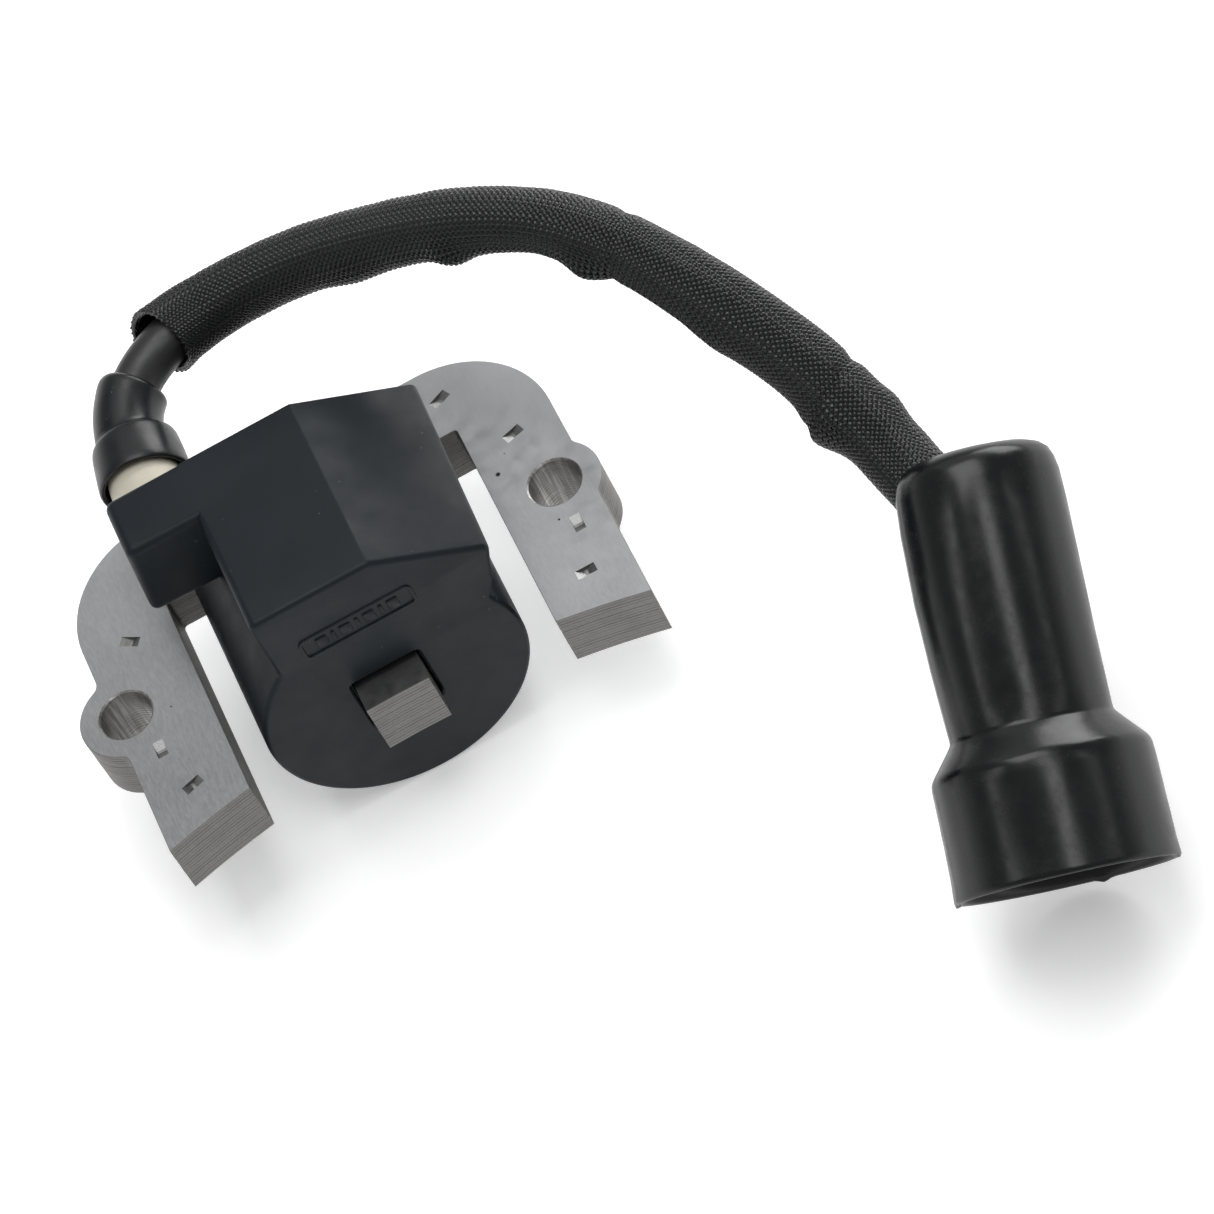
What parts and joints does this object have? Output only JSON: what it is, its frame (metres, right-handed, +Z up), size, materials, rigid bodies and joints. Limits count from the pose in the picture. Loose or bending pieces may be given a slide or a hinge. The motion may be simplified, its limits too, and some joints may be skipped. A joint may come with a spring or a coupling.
{
  "type": "ignition coil",
  "caption": "Small-engine ignition coil: potted module on an E-shaped lamination stack, with a sleeved high-tension lead and a rubber spark plug boot.",
  "frame": {"origin": "midpoint between the two mounting holes, on the underside of the lamination stack", "axes": "+X from the left leg to the right leg, +Y from the pole ends to the yoke, +Z up through the stack along the mounting holes"},
  "size_m": [0.1198, 0.1313, 0.0568],
  "materials": {
    "laminated_steel": "satin, stamped, darker cut edges",
    "housing_plastic": "fine matt moulding, dark charcoal with a blue cast",
    "potting_resin": "cast, slightly uneven gloss",
    "bobbin_plastic": "matt glass-filled moulding",
    "copper_wire": "enamelled copper",
    "board_laminate": "solder mask over glass laminate",
    "component_black": "moulded epoxy",
    "capacitor_film": "dipped case",
    "resistor_body": "lacquered",
    "contact_brass": "bright stamped",
    "spring_steel": "bright drawn wire",
    "tower_cream": "smooth cream moulding",
    "cap_rubber": "smooth semi-gloss",
    "lead_rubber": "smooth semi-gloss",
    "sleeve_braid": "woven, fine glints",
    "boot_rubber": "moulded, glossy with drawn streaks"
  },
  "bodies": {
    "root": {"braided_sleeve": "sleeve_braid", "capacitor": "capacitor_film", "circuit_board": "board_laminate", "clamp_diode": "component_black", "coil_housing": "housing_plastic", "control_chip": "component_black", "ground_strip": "contact_brass", "high_voltage_terminal": "contact_brass", "high_voltage_wire": "copper_wire", "lamination_stack": "laminated_steel", "lead_conductor": "copper_wire", "lead_insulation": "lead_rubber", "lead_spike": "spring_steel", "plug_boot": "boot_rubber", "potting_compound": "potting_resin", "power_transistor": "component_black", "primary_bobbin": "bobbin_plastic", "primary_winding": "copper_wire", "primary_wire_end": "copper_wire", "primary_wire_start": "copper_wire", "rectifier_diode": "component_black", "resistor_1": "resistor_body", "resistor_2": "resistor_body", "secondary_bobbin": "bobbin_plastic", "secondary_section_1": "copper_wire", "secondary_section_2": "copper_wire", "secondary_section_3": "copper_wire", "secondary_section_4": "copper_wire", "secondary_section_5": "copper_wire", "terminal_spring": "spring_steel", "tower_cap": "cap_rubber", "tower_insulator": "tower_cream"}
  },
  "joints": []
}
